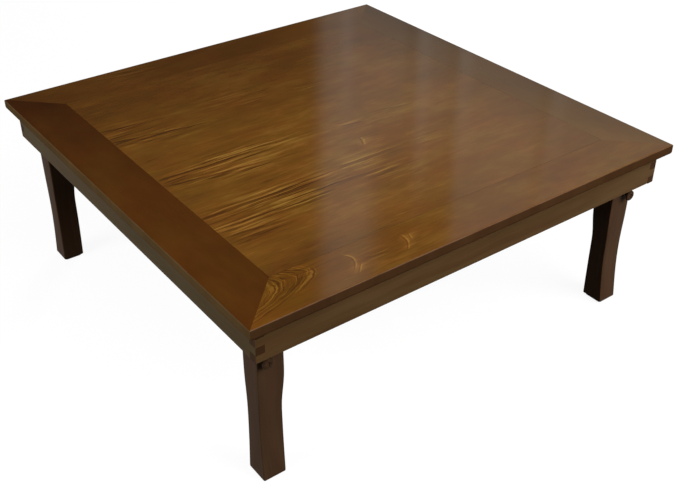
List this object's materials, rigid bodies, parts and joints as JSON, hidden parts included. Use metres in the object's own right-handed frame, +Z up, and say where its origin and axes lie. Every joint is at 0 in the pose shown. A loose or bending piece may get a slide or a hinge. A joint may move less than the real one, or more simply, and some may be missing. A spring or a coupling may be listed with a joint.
{
  "type": "folding coffee table",
  "caption": "Low square wooden folding table: framed flush top, finger-jointed apron, curved square legs on sprung hinges that fold flat inside the apron.",
  "frame": {"origin": "on the floor under the middle of the top", "axes": "+Z up; +X along the grain of the centre panel, the way the legs fold; -Y is the front"},
  "size_m": [0.8, 0.8, 0.312],
  "materials": {
    "panel_wood": "golden brown veneer under gloss lacquer",
    "border_wood": "brown veneer under gloss lacquer",
    "frame_wood": "dark brown stain under satin lacquer",
    "raw_wood": "bare planed softwood",
    "steel": "zinc-plated pressed steel",
    "painted_steel": "brown paint on turned steel",
    "spring_steel": "drawn spring wire",
    "felt": "dark felt"
  },
  "bodies": {
    "table": {"top_panel": "panel_wood", "border_front": "border_wood", "apron_front": "frame_wood", "cleat_front": "raw_wood", "border_back": "border_wood", "apron_back": "frame_wood", "cleat_back": "raw_wood", "border_left": "border_wood", "apron_left": "frame_wood", "cleat_left": "raw_wood", "border_right": "border_wood", "apron_right": "frame_wood", "cleat_right": "raw_wood", "hinge_bracket_front_left": "steel", "pivot_bolt_front_left": "steel", "pivot_nut_front_left": "steel", "bracket_screw_front_left_1": "steel", "bracket_screw_front_left_2": "steel", "bracket_screw_front_left_3": "steel", "bracket_screw_front_left_4": "steel", "hinge_bracket_front_right": "steel", "pivot_bolt_front_right": "steel", "pivot_nut_front_right": "steel", "bracket_screw_front_right_1": "steel", "bracket_screw_front_right_2": "steel", "bracket_screw_front_right_3": "steel", "bracket_screw_front_right_4": "steel", "hinge_bracket_back_left": "steel", "pivot_bolt_back_left": "steel", "pivot_nut_back_left": "steel", "bracket_screw_back_left_1": "steel", "bracket_screw_back_left_2": "steel", "bracket_screw_back_left_3": "steel", "bracket_screw_back_left_4": "steel", "hinge_bracket_back_right": "steel", "pivot_bolt_back_right": "steel", "pivot_nut_back_right": "steel", "bracket_screw_back_right_1": "steel", "bracket_screw_back_right_2": "steel", "bracket_screw_back_right_3": "steel", "bracket_screw_back_right_4": "steel"},
    "leg_front_left": {"leg_front_left": "frame_wood", "foot_pad_front_left": "felt", "spring_anchor_front_left": "painted_steel"},
    "spring_front_left": {"leg_spring_front_left": "spring_steel"},
    "leg_front_right": {"leg_front_right": "frame_wood", "foot_pad_front_right": "felt", "spring_anchor_front_right": "painted_steel"},
    "spring_front_right": {"leg_spring_front_right": "spring_steel"},
    "leg_back_left": {"leg_back_left": "frame_wood", "foot_pad_back_left": "felt", "spring_anchor_back_left": "painted_steel"},
    "spring_back_left": {"leg_spring_back_left": "spring_steel"},
    "leg_back_right": {"leg_back_right": "frame_wood", "foot_pad_back_right": "felt", "spring_anchor_back_right": "painted_steel"},
    "spring_back_right": {"leg_spring_back_right": "spring_steel"}
  },
  "joints": [
    {"name": "fold_front_left", "type": "hinge", "parent": "table", "child": "leg_front_left", "pos_m": [-0.34845, -0.33975, 0.26775], "axis": [0, -1, 0], "range_deg": [0, 90]},
    {"name": "spring_swing_front_left", "type": "hinge", "parent": "table", "child": "spring_front_left", "pos_m": [-0.35422, -0.365, 0.27567], "axis": [0, -1, 0], "range_deg": [0, 76.5]},
    {"name": "fold_front_right", "type": "hinge", "parent": "table", "child": "leg_front_right", "pos_m": [0.34845, -0.33975, 0.26775], "axis": [0, 1, 0], "range_deg": [0, 90]},
    {"name": "spring_swing_front_right", "type": "hinge", "parent": "table", "child": "spring_front_right", "pos_m": [0.35422, -0.365, 0.27567], "axis": [0, 1, 0], "range_deg": [0, 76.5]},
    {"name": "fold_back_left", "type": "hinge", "parent": "table", "child": "leg_back_left", "pos_m": [-0.34845, 0.33975, 0.26775], "axis": [0, -1, 0], "range_deg": [0, 90]},
    {"name": "spring_swing_back_left", "type": "hinge", "parent": "table", "child": "spring_back_left", "pos_m": [-0.35422, 0.365, 0.27567], "axis": [0, -1, 0], "range_deg": [0, 76.5]},
    {"name": "fold_back_right", "type": "hinge", "parent": "table", "child": "leg_back_right", "pos_m": [0.34845, 0.33975, 0.26775], "axis": [0, 1, 0], "range_deg": [0, 90]},
    {"name": "spring_swing_back_right", "type": "hinge", "parent": "table", "child": "spring_back_right", "pos_m": [0.35422, 0.365, 0.27567], "axis": [0, 1, 0], "range_deg": [0, 76.5]}
  ],
  "couplings": [
    {"joint": "spring_swing_front_left", "follows": "fold_front_left", "ratio": 0.85001},
    {"joint": "spring_swing_front_right", "follows": "fold_front_right", "ratio": 0.85001},
    {"joint": "spring_swing_back_left", "follows": "fold_back_left", "ratio": 0.85001},
    {"joint": "spring_swing_back_right", "follows": "fold_back_right", "ratio": 0.85001}
  ]
}
